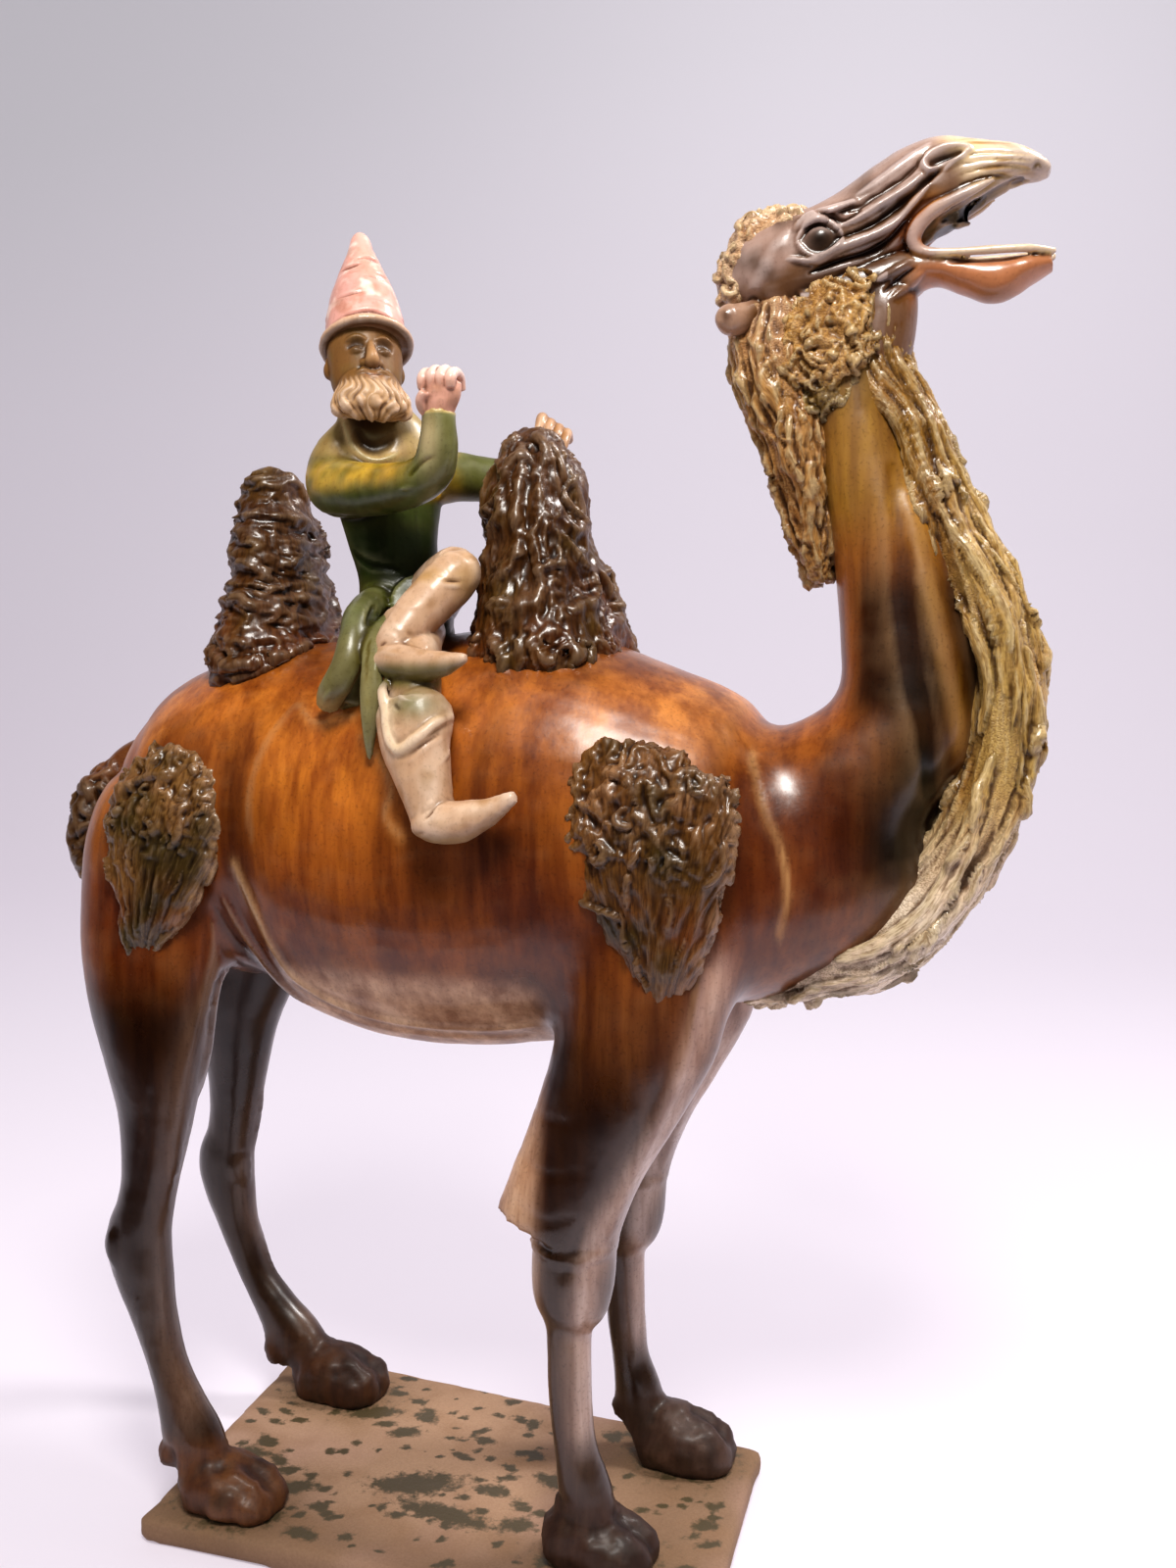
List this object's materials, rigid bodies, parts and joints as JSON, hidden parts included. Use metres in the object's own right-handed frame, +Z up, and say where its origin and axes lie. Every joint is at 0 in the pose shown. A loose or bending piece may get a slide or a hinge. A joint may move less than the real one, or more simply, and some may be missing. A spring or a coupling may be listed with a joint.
{
  "type": "camel and rider tomb figure",
  "caption": "Standing two-humped camel with open mouth and a seated rider in a tall hat, glazed earthenware on a bare clay slab.",
  "frame": {"origin": "on the underside of the base slab, under the camel's belly, where the figure stands", "axes": "+Z up, +X from the camel's tail to its head, +Y from the side where the rider faces the viewer to the far side"},
  "size_m": [0.6238, 0.2515, 0.8359],
  "materials": {
    "base_slab": "matte",
    "camel": "gloss",
    "rider": "gloss"
  },
  "bodies": {
    "root": {"base_slab": "base_slab", "camel": "camel", "rider": "rider"}
  },
  "joints": []
}
